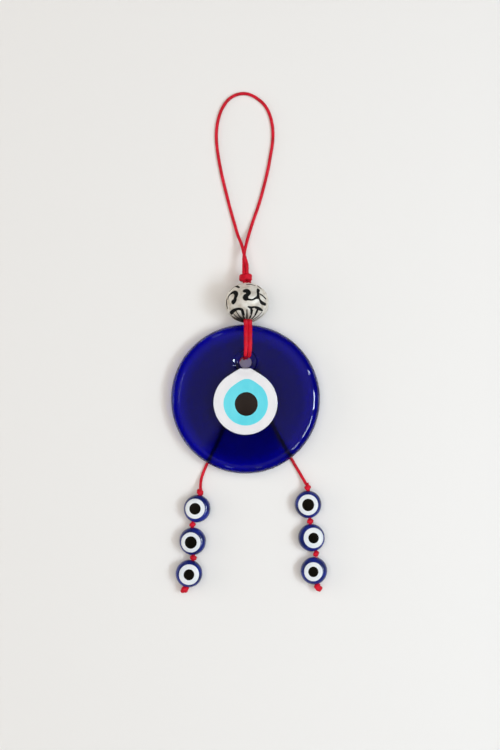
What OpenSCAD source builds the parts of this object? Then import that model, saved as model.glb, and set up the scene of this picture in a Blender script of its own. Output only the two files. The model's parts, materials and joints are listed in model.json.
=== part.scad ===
// Evil eye ornament: a glass eye disc strung on a doubled waxed cord under a filigree bead,
// with a hanging loop above and two knotted tassels of small eye beads below.
// The ornament lies on a table. XY is the plane of the disc, +Y points to the hanging loop and +Z up.
// The origin is the centre of the disc's flat back face.

/* [Disc] */
// Diameter of the glass disc
disc_d = 55; // [54:0.5:56]
// Thickness of the disc at its centre
disc_t = 6.5; // [6:0.1:7]
// Thickness of the disc where its rounded rim begins
rim_t = 5.5; // [5:0.1:5.8]
// Diameter of the hole that the cord goes through
hole_d = 4.5; // [4.4:0.1:5]
// Distance from the disc's centre up to its hole
hole_up = 13.6; // [13:0.1:14]

/* [Eye] */
// Diameter of the white drop's round part
white_d = 23.5; // [22:0.1:24]
// Diameter of the turquoise drop's round part
turquoise_d = 16.4; // [15:0.1:17]
// Diameter of the pupil
pupil_d = 8.6; // [7:0.1:9]
// Distance from the disc's centre down to the eye's centre
eye_down = 1.3; // [1:0.1:1.6]

/* [Cord] */
// Diameter of the waxed cord
cord_d = 1.1; // [0.9:0.05:1.15]
// Width of a front strand where tension flattens it
strand_w = 1.5; // [1.1:0.1:1.5]
// Thickness of a front strand
strand_t = 1; // [0.8:0.1:1]

/* [Filigree bead] */
// Diameter of the filigree bead
filigree_d = 16.2; // [15:0.1:16.2]
// Length of the filigree bead along its hole
filigree_len = 14.8; // [13:0.1:14.8]
// Diameter of the filigree bead's hole
filigree_hole_d = 4; // [3.8:0.1:5]
// Angle by which the filigree bead's lower end is raised
filigree_tilt = 15; // [13:1:17]

/* [Small beads] */
// Diameter of a small eye bead
bead_d = 10; // [9:0.1:10]
// Thickness of a small eye bead
bead_t = 5.4; // [4.8:0.1:5.4]
// Diameter of the hole through a small bead
bead_hole_d = 1.6; // [1.4:0.1:2]
// Diameter of a small bead's white dot
bead_white_d = 7.5; // [6.5:0.1:7.6]
// Diameter of a small bead's black dot
bead_black_d = 4.3; // [3.5:0.1:4.5]
// Diameter of the small knots
knot_d = 1.9; // [1.7:0.05:1.9]

/* [Hidden] */
SIDES = ["left", "right"];
function numbered(side, stem, tail = "") = [for (i = [1:3]) str(side, "_", stem, "_", i, tail)];

$fn = 96;

// The disc lies on the two cords behind it, so the table is this far below its back face.
table_z = -1.15;
disc_r = disc_d / 2;
hole_r = hole_d / 2;
hole_at = [0, hole_up];

// The rim is a half ellipse, rim_w wide. The front is a gentle dome inside it.
rim_w = 2.75;
dome_edge_r = disc_r - rim_w;
dome_r = (dome_edge_r * dome_edge_r + pow(disc_t - rim_t, 2)) / (2 * (disc_t - rim_t));

// The hole's front mouth is rounded over. Round its back mouth, a bowl makes room for the back knot.
front_mouth_w = 2.2;
front_mouth_h = 1.7;
back_bowl_w = 2.95;
back_bowl_h = 1.6;

// Each layer of the eye is set into the one below, and stands a little proud of the glass.
layer_floor = [disc_t - 2, disc_t - 1, disc_t - 0.6];
layer_proud = [0.1, 0.15, 0.2];

// Each drop is a circle whose sides leave it at an angle, its shoulder, and curve to a flat tip.
white_shoulder = 56;
white_pull = 2.8;
white_tip_half = 1.9;
white_tip_up = hole_up - hole_r + 0.4 + eye_down;
turquoise_at = [0.1, -eye_down - 0.2];
turquoise_shoulder = 58;
turquoise_pull = 3;
turquoise_tip_half = 0.3;
turquoise_tip_up = turquoise_d / 2 + 1;
pupil_at = [0.3, -eye_down - 0.4];

// The filigree bead rests on the table, tilted about X.
filigree_r = filigree_d / 2;
filigree_half = filigree_len / 2;
filigree_rise = sqrt(pow(filigree_r * cos(filigree_tilt), 2) + pow(filigree_half * sin(filigree_tilt), 2));
filigree_at = [0.55, 35.9, table_z + filigree_rise];

// The knots that hold the cord on each side of the filigree bead and of the hole
top_knot_at = [0.3, 44.65, 4.6];
top_knot_r = 1.3;
top_knot_w = 4.6;
back_knot_at = [0.3, 16.6];
back_knot_r = 1.8;
back_knot_bottom = table_z + 0.05;
back_knot_top = 1.05;

// The strands bend into the hole over its upper edge, and go down to the back knot.
hole_cord_y = 15.1;
hole_cord_x = [-0.5, 0.6];
hole_cord_bottom = 0.5;
hole_cord_top = 4.9;

// Route of the hanging loop, from the top knot round and back, with one branch crossing the other
LOOP_ROUTE = [
    [0.6, 46.5, 4.9], [0.5, 49.6, 4.8], [-0.5, 53.4, 4.0], [-1.4, 57, 2.2], [-2.8, 60.6, 0.6],
    [-3.9, 64.4, -0.3], [-5, 68.2, -0.6], [-6.1, 72.2, -0.6], [-7.1, 76.2, -0.6], [-8.1, 80.2, -0.6],
    [-9, 84.2, -0.6], [-9.8, 88.2, -0.6], [-10.4, 92.2, -0.6], [-10.8, 96.2, -0.6],
    [-10.7, 100.2, -0.6], [-10, 104.2, -0.6], [-8.6, 108, -0.6], [-6.2, 111.3, -0.6],
    [-2.9, 113.1, -0.6], [0.6, 113.3, -0.6], [4, 111.8, -0.6], [7, 109.2, -0.6], [8.9, 105.8, -0.6],
    [9.9, 102, -0.6], [10.2, 98, -0.6], [9.9, 94, -0.6], [9.2, 90, -0.6], [8.5, 86, -0.6],
    [7.6, 82, -0.6], [6.6, 78, -0.6], [5.5, 74, -0.6], [4.2, 70, -0.6], [2.8, 66, -0.5],
    [1.6, 62.2, 0], [0.5, 58.4, 0.9], [-0.2, 55.2, 1.8], [-0.6, 52, 2.9], [-0.6, 49.2, 4],
    [-0.6, 46.5, 4.9]
];

// Routes of the two strands from the top knot, through the filigree bead, to the hole
STRAND_ROUTES = [
    [
        [-0.2, 43.3, 5.1], [-0.2, 36, 7], [0.1, 29, 8.8], [0.2, 26.4, 7.9], [0.2, 24, 6.8],
        [0.2, 21.5, 6.6], [0.2, 19, 6.8], [0.1, 17.5, 6.9], [0, 16.2, 6.7]
    ],
    [
        [1.3, 43.3, 5.1], [1.3, 36, 7], [1.6, 29, 8.8], [1.7, 26.4, 7.9], [1.7, 24, 6.8],
        [1.7, 21.5, 6.6], [1.7, 19, 6.8], [1.6, 17.5, 6.9], [1.5, 16.2, 6.7]
    ]
];

// Routes of the cords behind the disc, from the back knot to the lower rim
BACK_ROUTES = [
    [
        [-1.8, 15.3, -0.6], [-3, 13.4, -0.6], [-3.7, 11, -0.6], [-4.3, 8.4, -0.6], [-4.8, 5.6, -0.6],
        [-5.3, 2.8, -0.6], [-5.9, 0, -0.6], [-6.4, -2.8, -0.6], [-7, -5.6, -0.6], [-7.6, -8.4, -0.6],
        [-8.4, -11.2, -0.6], [-9.4, -14, -0.6], [-10.6, -16.8, -0.6], [-12, -19.6, -0.6],
        [-13.8, -23.2, -0.6]
    ],
    [
        [2.4, 15.3, -0.6], [3.6, 13.4, -0.6], [4.5, 11, -0.6], [5.2, 8.4, -0.6], [5.9, 5.6, -0.6],
        [6.6, 2.8, -0.6], [7.3, 0, -0.6], [8, -2.8, -0.6], [8.8, -5.6, -0.6], [9.7, -8.4, -0.6],
        [10.9, -11.2, -0.6], [12.4, -14, -0.6], [14, -16.8, -0.6], [15.5, -19.4, -0.6],
        [16.6, -21.4, -0.6]
    ]
];

// Routes of the cords from the lower rim to each tassel's first knot
DROP_ROUTES = [
    [
        [-14.2, -23.9, -0.6], [-15.2, -26.2, -0.6], [-16.1, -28.6, -0.3], [-16.6, -31, 0.4],
        [-16.7, -33.7, 1.4]
    ],
    [
        [17, -22.1, -0.6], [18.4, -24.6, -0.6], [19.9, -27.1, -0.3], [21.3, -29.5, 0.4],
        [22.7, -31.9, 1.4]
    ]
];

// Centres of each tassel's four knots, down its length
tassel_z = table_z + bead_t / 2;
KNOTS = [
    [[-16.8, -34.5], [-19.6, -46.5], [-19.3, -58.7], [-22.5, -70.5]],
    [[23, -32.7], [23.9, -45.2], [26.1, -57.2], [26.9, -69.7]]
];
// How far each bead hangs to the side of its cord, because its hole is a little off centre
BEAD_OFFSET = [[0.3, -0.1, 0], [-0.3, -0.6, -1.2]];
// How far each bead's eye sits off its bead's centre, across and along the bead
EYE_SHIFT = [
    [[-0.6, 0], [-0.5, -0.4], [-0.1, -0.3]],
    [[0, 0], [0.7, 0], [-0.3, -0.3]]
];
// A bend needs room round its knot, so the next bead's cord starts this far from the knot's centre.
bend_room = 1.35;
bead_dome = 0.35;
bead_rim_r = 1.4;
dot_depth = 0.8;
black_depth = 0.4;

// ---- helpers ----

function unit(v) = v / norm(v);
function last(list) = list[len(list) - 1];
function tangent(route, i) = unit(route[min(i + 1, len(route) - 1)] - route[max(i - 1, 0)]);
function ring(at, along, flat_way, w, h, sides) =
    let (across = unit(cross(flat_way, along)), over = cross(along, across))
    [for (k = [0:sides - 1])
        at + across * cos(360 * (k + 0.5) / sides) * w / 2 + over * sin(360 * (k + 0.5) / sides) * h / 2];

// A cord of width w and thickness h swept along a route. flat_way is the way its thickness faces.
module cord(route, w = cord_d, h = cord_d, flat_way = [0, 0, 1], sides = 8) {
    n = len(route);
    points = [for (i = [0:n - 1]) each ring(route[i], tangent(route, i), flat_way, w, h, sides)];
    walls = [for (i = [0:n - 2], k = [0:sides - 1])
        let (a = i * sides + k, b = i * sides + (k + 1) % sides)
        each [[a, b + sides, b], [a, a + sides, b + sides]]];
    start_cap = [[for (k = [0:sides - 1]) k]];
    end_cap = [[for (k = [sides - 1:-1:0]) (n - 1) * sides + k]];
    polyhedron(points = points, faces = concat(walls, start_cap, end_cap), convexity = 6);
}

// Moves a child from the origin to a tassel's bead, with +Y up along the cord.
module at_bead(s, i) {
    top = KNOTS[s][i - 1];
    bottom = KNOTS[s][i];
    way = top - bottom;
    middle = (top + bottom) / 2;
    translate([middle[0], middle[1], tassel_z]) rotate([0, 0, atan2(way[1], way[0]) - 90]) children();
}

// Height of the domed front face at a distance from the disc's axis
function dome_z(r) = disc_t - dome_r + sqrt(dome_r * dome_r - r * r);

// Half outline of the disc: flat back, half-round rim and domed front
function disc_outline(lift = 0) =
    let (steps = 12, rise = rim_t / 2)
    concat(
        [[0, 0]],
        [for (k = [0:steps]) let (a = -90 + 180 * k / steps)
            [dome_edge_r + rim_w * cos(a), rise + rise * sin(a) + lift * k / steps]],
        [for (k = [5:-1:0]) [dome_edge_r * k / 6, dome_z(dome_edge_r * k / 6) + lift]]
    );

// Outline of a drop: a circle of radius r whose sides run from the angle shoulder_a up to the tip
module drop_outline(r, shoulder_a, pull, tip_half, tip_up) {
    steps = 10;
    start = r * [cos(shoulder_a), sin(shoulder_a)];
    handle = start + pull * [-sin(shoulder_a), cos(shoulder_a)];
    tip = [tip_half, tip_up];
    side = [for (k = [1:steps]) let (t = k / steps)
        pow(1 - t, 2) * start + 2 * t * (1 - t) * handle + t * t * tip];
    arc_steps = 36;
    bottom = [for (k = [0:arc_steps]) let (a = 180 - shoulder_a + (180 + 2 * shoulder_a) * k / arc_steps)
        r * [cos(a), sin(a)]];
    polygon(concat(bottom, side, [for (k = [steps - 1:-1:0]) [-side[k][0], side[k][1]]]));
}

module white_outline() {
    translate([0, -eye_down])
        drop_outline(white_d / 2, white_shoulder, white_pull, white_tip_half, white_tip_up);
}

module turquoise_outline() {
    r = turquoise_d / 2;
    translate(turquoise_at)
        drop_outline(r, turquoise_shoulder, turquoise_pull, turquoise_tip_half, turquoise_tip_up);
}

module pupil_outline() {
    translate(pupil_at) circle(d = pupil_d);
}

// What a layer of the eye takes up, from its floor to above the glass
module layer_room(layer) {
    translate([0, 0, layer_floor[layer]]) linear_extrude(height = disc_t) children();
}

// The same, ended at the domed face
module layer(layer) {
    intersection() {
        layer_room(layer) children();
        rotate_extrude() polygon(disc_outline(layer_proud[layer]));
    }
}

// The hole and its two rounded mouths
module hole_room() {
    steps = 8;
    front_z = disc_t - front_mouth_h;
    front = [for (k = [0:steps]) let (a = 90 * k / steps)
        [hole_r + front_mouth_w * (1 - cos(a)), front_z + front_mouth_h * sin(a)]];
    back = [for (k = [0:steps]) let (a = 90 * k / steps)
        [hole_r + back_bowl_w * cos(a), back_bowl_h * sin(a)]];
    translate([hole_at[0], hole_at[1], 0]) {
        translate([0, 0, -1]) cylinder(r = hole_r, h = disc_t + 2);
        rotate_extrude() polygon(concat([[0, front_z]], front, [[0, disc_t]]));
        rotate_extrude() polygon(concat([[0, 0]], back, [[0, back_bowl_h]]));
    }
}

// ---- sub-parts ----

module glass_disc() {
    color("#16167a") difference() {
        rotate_extrude() polygon(disc_outline());
        layer_room(0) white_outline();
        hole_room();
    }
}

module white_drop() {
    color("#f0eff2") difference() {
        layer(0) white_outline();
        layer_room(1) turquoise_outline();
        hole_room();
    }
}

module turquoise_drop() {
    color("#64e1f0") difference() {
        layer(1) turquoise_outline();
        layer_room(2) pupil_outline();
    }
}

module pupil() {
    color("#221812") layer(2) pupil_outline();
}

module back_knot() {
    bevel = 0.6;
    h = back_knot_top - back_knot_bottom;
    color("#c8102a") translate([back_knot_at[0], back_knot_at[1], back_knot_bottom]) rotate_extrude()
        polygon(concat(
            [[0, 0]],
            [for (a = [-90:15:0]) [back_knot_r - bevel + bevel * cos(a), bevel + bevel * sin(a)]],
            [for (a = [0:15:90]) [back_knot_r - bevel + bevel * cos(a), h - bevel + bevel * sin(a)]],
            [[0, h]]
        ));
}

module hole_cords() {
    h = hole_cord_top - hole_cord_bottom;
    color("#c8102a") for (x = hole_cord_x) {
        translate([x, hole_cord_y, hole_cord_bottom]) cylinder(d = cord_d, h = h);
    }
}

module front_strand(s) {
    color("#dc2040") cord(STRAND_ROUTES[s], w = strand_t, h = strand_w, flat_way = [1, 0, 0]);
}

module top_knot() {
    bevel = 0.8;
    color("#c8102a") translate(top_knot_at - [top_knot_w / 2, 0, 0]) rotate([0, 90, 0]) rotate_extrude()
        polygon(concat(
            [[0, 0]],
            [for (a = [-90:15:0]) [top_knot_r - bevel + bevel * cos(a), bevel + bevel * sin(a)]],
            [for (a = [0:15:90]) [top_knot_r - bevel + bevel * cos(a), top_knot_w - bevel + bevel * sin(a)]],
            [[0, top_knot_w]]
        ));
}

module filigree_bead() {
    bore_r = filigree_hole_d / 2;
    steps = 24;
    start_a = acos(bore_r / filigree_r);
    outline = [for (k = [0:steps]) let (a = -start_a + 2 * start_a * k / steps)
        [filigree_r * cos(a), filigree_half * sin(a)]];
    color("#b9b4a8") translate(filigree_at) rotate([-90 - filigree_tilt, 0, 0]) difference() {
        rotate_extrude() polygon(concat([[0, outline[0][1]]], outline, [[0, last(outline)[1]]]));
        cylinder(r = bore_r, h = filigree_d, center = true);
    }
}

module hanging_loop() {
    color("#c8102a") cord(LOOP_ROUTE);
}

module back_cord(s) {
    color("#c8102a") cord(BACK_ROUTES[s]);
}

module drop_cord(s) {
    color("#c8102a") cord(DROP_ROUTES[s]);
}

module small_knot(s, i) {
    at = KNOTS[s][i - 1];
    color("#c8102a") translate([at[0], at[1], tassel_z]) sphere(d = knot_d);
}

// The cord through a bead. Below the first bead it starts clear of the knot that it bends at.
module bead_cord(s, i) {
    reach = norm(KNOTS[s][i - 1] - KNOTS[s][i]) / 2;
    into_knot = sqrt(pow(knot_d / 2, 2) - pow(cord_d / 2, 2));
    top = reach - (i == 1 ? into_knot : bend_room);
    bottom = -reach + into_knot;
    color("#c8102a") at_bead(s, i) translate([0, bottom, 0]) rotate([-90, 0, 0])
        cylinder(d = cord_d, h = top - bottom);
}

// Half outline of a flat-round bead: gently domed faces and a rounded rim
function bead_outline() =
    let (flat_r = bead_d / 2 - bead_rim_r, h = bead_t / 2, steps = 4, rim = [-70:28:70])
    concat(
        [[0, -h]],
        [for (k = [1:steps]) [flat_r * k / steps, -h + bead_dome * pow(k / steps, 2)]],
        [for (a = rim) [flat_r + bead_rim_r * cos(a), (h - bead_dome) * sin(a)]],
        [for (k = [steps:-1:1]) [flat_r * k / steps, h - bead_dome * pow(k / steps, 2)]],
        [[0, h]]
    );

module bead_shape(s, i) {
    translate([BEAD_OFFSET[s][i - 1], 0, 0]) rotate_extrude() polygon(bead_outline());
}

module bead_hole() {
    rotate([90, 0, 0]) cylinder(d = bead_hole_d, h = bead_d * 1.2, center = true);
}

// A dot on each face, reaching depth below the bead's thickness
module dots(s, i, d, depth) {
    shift = EYE_SHIFT[s][i - 1];
    at = [BEAD_OFFSET[s][i - 1] + shift[0], shift[1]];
    for (face = [0, 1]) mirror([0, 0, face])
        translate([at[0], at[1], bead_t / 2 - depth]) cylinder(d = d, h = bead_t);
}

module bead(s, i) {
    color("#22308c") at_bead(s, i) difference() {
        bead_shape(s, i);
        bead_hole();
        dots(s, i, bead_white_d, dot_depth);
    }
}

module bead_whites(s, i) {
    color("#e4eaf0") at_bead(s, i) difference() {
        intersection() {
            bead_shape(s, i);
            dots(s, i, bead_white_d, dot_depth);
        }
        dots(s, i, bead_black_d, black_depth);
    }
}

module bead_blacks(s, i) {
    color("#12120e") at_bead(s, i) intersection() {
        bead_shape(s, i);
        dots(s, i, bead_black_d, black_depth);
    }
}

// ---- the ornament ----

glass_disc();
white_drop();
turquoise_drop();
pupil();
back_knot();
hole_cords();
top_knot();
filigree_bead();
hanging_loop();
for (s = [0, 1]) {
    front_strand(s);
    back_cord(s);
    drop_cord(s);
    small_knot(s, 4);
    for (i = [1:3]) {
        small_knot(s, i);
        bead_cord(s, i);
        bead(s, i);
        bead_whites(s, i);
        bead_blacks(s, i);
    }
}
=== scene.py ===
"""Evil eye ornament: the looks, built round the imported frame.

Lengths that are written in millimetres, such as the cords' routes, go through in_metres or MM.
"""
import json
import math

import bpy
import numpy as np
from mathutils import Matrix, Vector

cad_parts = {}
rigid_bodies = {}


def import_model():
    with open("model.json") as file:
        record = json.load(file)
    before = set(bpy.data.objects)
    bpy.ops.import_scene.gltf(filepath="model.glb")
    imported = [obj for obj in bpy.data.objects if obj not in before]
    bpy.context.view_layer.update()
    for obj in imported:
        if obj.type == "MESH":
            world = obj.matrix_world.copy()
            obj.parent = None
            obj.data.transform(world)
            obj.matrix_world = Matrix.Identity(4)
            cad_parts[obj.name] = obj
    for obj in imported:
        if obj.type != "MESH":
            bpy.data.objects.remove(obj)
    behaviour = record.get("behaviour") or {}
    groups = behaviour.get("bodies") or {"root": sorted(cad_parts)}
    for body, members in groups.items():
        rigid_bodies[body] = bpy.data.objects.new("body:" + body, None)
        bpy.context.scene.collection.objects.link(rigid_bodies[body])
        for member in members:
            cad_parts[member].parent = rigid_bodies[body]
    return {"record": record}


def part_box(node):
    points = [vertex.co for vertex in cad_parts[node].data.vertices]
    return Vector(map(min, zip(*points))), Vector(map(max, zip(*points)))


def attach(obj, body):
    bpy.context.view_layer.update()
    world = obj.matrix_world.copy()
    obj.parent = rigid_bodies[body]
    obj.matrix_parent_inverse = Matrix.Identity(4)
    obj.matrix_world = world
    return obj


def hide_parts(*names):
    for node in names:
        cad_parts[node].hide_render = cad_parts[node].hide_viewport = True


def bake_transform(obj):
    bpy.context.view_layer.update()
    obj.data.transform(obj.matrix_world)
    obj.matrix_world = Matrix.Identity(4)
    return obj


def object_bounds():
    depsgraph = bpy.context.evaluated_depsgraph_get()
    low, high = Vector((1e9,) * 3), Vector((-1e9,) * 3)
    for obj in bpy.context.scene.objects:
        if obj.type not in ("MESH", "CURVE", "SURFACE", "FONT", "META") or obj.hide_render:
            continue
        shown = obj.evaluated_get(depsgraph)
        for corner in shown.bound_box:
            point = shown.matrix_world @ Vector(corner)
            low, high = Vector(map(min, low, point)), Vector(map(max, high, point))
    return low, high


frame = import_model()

CAD_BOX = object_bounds()
MM = 0.001
SIDES = ("left", "right")


def in_metres(points):
    return np.array(points, float) * MM


# ---------------------------------------------------------------- camera

CAMERA_HEIGHT = 0.6
VIEW_HEIGHT = 0.2783
VIEW_CENTRE = (0.00167, 0.0089)
SENSOR = 36


def add_camera():
    """A camera that looks straight down at the ornament."""
    camera = bpy.data.objects.new("camera", bpy.data.cameras.new("camera"))
    bpy.context.scene.collection.objects.link(camera)
    camera.data.sensor_width = SENSOR
    camera.data.lens = SENSOR * CAMERA_HEIGHT / VIEW_HEIGHT
    camera.data.clip_start = 0.01
    camera.location = (*VIEW_CENTRE, CAMERA_HEIGHT)
    bpy.context.scene.camera = camera


add_camera()

# ---------------------------------------------------------------- sizes, read from the frame

GLASS_LOW, GLASS_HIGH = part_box("glass_disc")
WHITE_LAYER_PROUD = 0.1 * MM
DISC_R = (GLASS_HIGH[0] - GLASS_LOW[0]) / 2
DISC_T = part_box("white_drop")[1][2] - WHITE_LAYER_PROUD
RIM_T = 5.5 * MM
RIM_W = 3.6 * MM
FLAT_R = DISC_R - RIM_W
HOLE_R = 2.25 * MM
HOLE = np.array([0, 13.6]) * MM
EYE = np.array([0, -1.3]) * MM
CORD_D = 1.1 * MM
TABLE_Z = CAD_BOX[0][2]
BEAD_TILT = math.radians(15)

# ---------------------------------------------------------------- materials


class Paint:
    """A procedural material: one Principled shader and the nodes that feed it."""

    def __init__(self, name, colour, roughness, **sockets):
        self.material = bpy.data.materials.new(name)
        self.material.use_nodes = True
        self.nodes = self.material.node_tree.nodes
        self.links = self.material.node_tree.links
        self.shader = self.nodes["Principled BSDF"]
        self.shader.inputs["Base Color"].default_value = (*colour, 1)
        self.shader.inputs["Roughness"].default_value = roughness
        for socket, value in sockets.items():
            self.shader.inputs[socket.replace("_", " ")].default_value = value

    def node(self, kind, **inputs):
        made = self.nodes.new(kind)
        for socket, value in inputs.items():
            made.inputs[socket.replace("_", " ")].default_value = value
        return made

    def place(self, stretch=(1, 1, 1)):
        """Object coordinates, scaled."""
        where = self.nodes.new("ShaderNodeTexCoord")
        scaled = self.node("ShaderNodeMapping", Scale=stretch)
        self.links.new(where.outputs["Object"], scaled.inputs["Vector"])
        return scaled.outputs["Vector"]

    def noise(self, scale, detail=3, stretch=(1, 1, 1)):
        texture = self.node("ShaderNodeTexNoise", Scale=scale, Detail=detail)
        self.links.new(self.place(stretch), texture.inputs["Vector"])
        return texture.outputs["Fac"]

    def attribute(self, name):
        """A value that the mesh carries on its points."""
        found = self.nodes.new("ShaderNodeAttribute")
        found.attribute_name = name
        return found.outputs["Fac"]

    def ramp(self, value, *stops):
        """value turned into a colour: stops are (position, colour)."""
        made = self.nodes.new("ShaderNodeValToRGB")
        elements = made.color_ramp.elements
        while len(elements) < len(stops):
            elements.new(0.5)
        for element, (position, colour) in zip(elements, stops):
            element.position = position
            element.color = (*colour, 1)
        self.links.new(value, made.inputs["Fac"])
        return made.outputs["Color"]

    def mix(self, share, first, second):
        """Two colours mixed by a value."""
        made = self.nodes.new("ShaderNodeMix")
        made.data_type = "RGBA"
        self.links.new(share, made.inputs["Factor"])
        self.links.new(first, made.inputs[6])
        self.links.new(second, made.inputs[7])
        return made.outputs[2]

    def spread(self, value, low, high):
        """value, from 0 to 1, moved to the range low to high."""
        made = self.nodes.new("ShaderNodeMapRange")
        made.inputs["To Min"].default_value = low
        made.inputs["To Max"].default_value = high
        self.links.new(value, made.inputs["Value"])
        return made.outputs["Result"]

    def feed(self, socket, value):
        self.links.new(value, self.shader.inputs[socket])

    def bump(self, height, strength, distance):
        made = self.node("ShaderNodeBump", Strength=strength, Distance=distance)
        self.links.new(height, made.inputs["Height"])
        self.links.new(made.outputs["Normal"], self.shader.inputs["Normal"])


def cord_paint():
    paint = Paint("red_cord", (0.56, 0.003, 0.018), 0.5, Specular_IOR_Level=0.25)
    shade = paint.noise(420, 4)
    paint.feed("Base Color", paint.ramp(
        shade, (0.3, (0.44, 0.002, 0.012)), (0.55, (0.6, 0.004, 0.022)), (0.75, (0.7, 0.01, 0.036))))
    paint.feed("Roughness", paint.spread(paint.noise(900), 0.42, 0.62))
    paint.bump(paint.noise(5200, 2), 0.35, 0.05 * MM)
    return paint.material


def glass_paint():
    """Cobalt glass: bluer and darker the deeper light goes. Its back and the lower part of its hole are
    frosted. Its inner part is tinted darker than its rim, a painted glow that makes the rim band
    look brighter."""
    paint = Paint("cobalt_glass", (1, 1, 1), 0.03, Transmission_Weight=1, IOR=1.5)
    # Painted rim glow: the inner glass is tinted darker than the rim.
    painted_rim_glow = paint.attribute("rim")
    paint.feed("Base Color", paint.ramp(painted_rim_glow, (0.0, (0.64, 0.64, 0.64)), (1.0, (1, 1, 1))))
    paint.feed("Roughness", paint.spread(paint.attribute("underside"), 0.02, 0.45))
    paint.bump(paint.noise(110, 1), 0.04, 0.3 * MM)
    absorb = paint.node("ShaderNodeVolumeAbsorption", Color=(0.0, 0.04, 0.945, 1), Density=1300)
    output = paint.nodes["Material Output"]
    paint.links.new(absorb.outputs["Volume"], output.inputs["Volume"])
    return paint.material


def enamel_paint(name, body, edge, streak):
    """Opaque poured glass: a little paler or darker at its edge, with faint streaks."""
    paint = Paint(name, body, 0.16, Coat_Weight=0.5, Coat_Roughness=0.05)
    faint = paint.noise(220, 4, (1, 0.35, 1))
    poured = paint.ramp(faint, (0.35, body), (0.7, streak))
    rim = paint.ramp(paint.attribute("edge"), (0.0, edge), (1.0, body))
    near = paint.ramp(paint.attribute("edge"), (0.0, (0, 0, 0)), (0.9, (1, 1, 1)))
    paint.feed("Base Color", paint.mix(near, rim, poured))
    paint.feed("Roughness", paint.spread(paint.noise(400), 0.1, 0.24))
    paint.bump(paint.noise(160, 2), 0.08, 0.3 * MM)
    return paint.material


def silver_paint():
    """Antique silver: bright where it stands up, brown and then black down in the grooves, and darkened
    by painted shade round the lower end of its hole.
    """
    paint = Paint("antique_silver", (0.7, 0.68, 0.62), 0.48, Metallic=0.4)
    depth = paint.attribute("groove")
    worn = paint.ramp(paint.noise(420, 5), (0.3, (0.56, 0.49, 0.4)), (0.5, (0.76, 0.72, 0.65)),
                      (0.75, (0.9, 0.88, 0.83)))
    # The grooves' patina colour, also used for painted shade at the bead's lower end.
    patina_and_shade = paint.ramp(depth, (0.1, (0.3, 0.22, 0.16)), (0.35, (0.016, 0.012, 0.01)),
                         (0.7, (0.004, 0.004, 0.004)))
    share = paint.ramp(depth, (0.04, (0, 0, 0)), (0.3, (1, 1, 1)))
    paint.feed("Base Color", paint.mix(share, worn, patina_and_shade))
    paint.feed("Roughness", paint.spread(depth, 0.46, 0.9))
    paint.feed("Metallic", paint.spread(depth, 0.4, 0.1))
    paint.bump(paint.noise(1500, 4), 0.25, 0.08 * MM)
    return paint.material


def resin_paint(name, dark, light, gloss=0.3):
    paint = Paint(name, light, 0.2, Specular_IOR_Level=gloss, Coat_Weight=gloss, Coat_Roughness=0.04)
    paint.feed("Base Color", paint.ramp(paint.noise(190, 3), (0.36, dark), (0.62, light)))
    paint.feed("Roughness", paint.spread(paint.noise(700), 0.16, 0.3))
    paint.bump(paint.noise(260, 2), 0.1, 0.2 * MM)
    return paint.material


CORD = cord_paint()
GLASS = glass_paint()
WHITE = enamel_paint("white_glass", (0.78, 0.77, 0.8), (0.66, 0.68, 0.76), (0.83, 0.82, 0.84))
TURQUOISE = enamel_paint("turquoise_glass", (0.11, 0.66, 0.78), (0.3, 0.78, 0.86), (0.15, 0.72, 0.83))
PUPIL = enamel_paint("dark_glass", (0.012, 0.006, 0.004), (0.002, 0.002, 0.002), (0.017, 0.009, 0.006))
SILVER = silver_paint()
BLUE_RESIN = resin_paint("blue_resin", (0.005, 0.01, 0.085), (0.009, 0.021, 0.24), gloss=0.36)
WHITE_RESIN = resin_paint("white_resin", (0.68, 0.73, 0.78), (0.78, 0.81, 0.83))
BLACK_RESIN = resin_paint("black_resin", (0.002, 0.002, 0.001), (0.006, 0.005, 0.003), gloss=0.12)

# ---------------------------------------------------------------- mesh helpers


def unit(v):
    return v / np.linalg.norm(v)


def make(name, points, faces, paint, values=None, sharp=None):
    """A smooth-shaded mesh object. values are numbers that each point carries for its material."""
    mesh = bpy.data.meshes.new(name)
    mesh.from_pydata([tuple(p) for p in points], [], [tuple(f) for f in faces])
    mesh.validate()
    mesh.materials.append(paint)
    mesh.shade_smooth()
    if sharp is not None:
        mesh.set_sharp_from_angle(angle=math.radians(sharp))
    for key, numbers in (values or {}).items():
        carried = mesh.attributes.new(key, "FLOAT", "POINT")
        carried.data.foreach_set("value", np.asarray(numbers, np.float32))
    made = bpy.data.objects.new(name, mesh)
    bpy.context.scene.collection.objects.link(made)
    return made


def grid_faces(rows, columns, close_rows=False):
    """Quads over rows by columns of points, numbered row by row. Each row is a closed ring."""
    faces = []
    for i in range(rows if close_rows else rows - 1):
        here, under = i * columns, (i + 1) % rows * columns
        for k in range(columns):
            right = (k + 1) % columns
            faces.append((here + k, here + right, under + right, under + k))
    return faces


def smooth_path(points, step):
    """A smooth curve through points, as new points a step apart."""
    points = np.asarray(points, float)
    padded = np.vstack([2 * points[0] - points[1], points, 2 * points[-1] - points[-2]])
    t = np.linspace(0, 1, 12, endpoint=False)[:, None]
    dense = []
    for a, b, c, d in zip(padded, padded[1:], padded[2:], padded[3:]):
        dense.append(0.5 * (2 * b + (c - a) * t + (2 * a - 5 * b + 4 * c - d) * t**2
                            + (3 * b - a - 3 * c + d) * t**3))
    dense = np.vstack([*dense, points[-1:]])
    reach = np.concatenate([[0], np.cumsum(np.linalg.norm(np.diff(dense, axis=0), axis=1))])
    even = np.linspace(0, reach[-1], max(2, round(reach[-1] / step)) + 1)
    return np.column_stack([np.interp(even, reach, dense[:, i]) for i in range(3)])


BRAID_STRANDS = 4
BRAID_PITCH = 2.6 * MM


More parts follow.
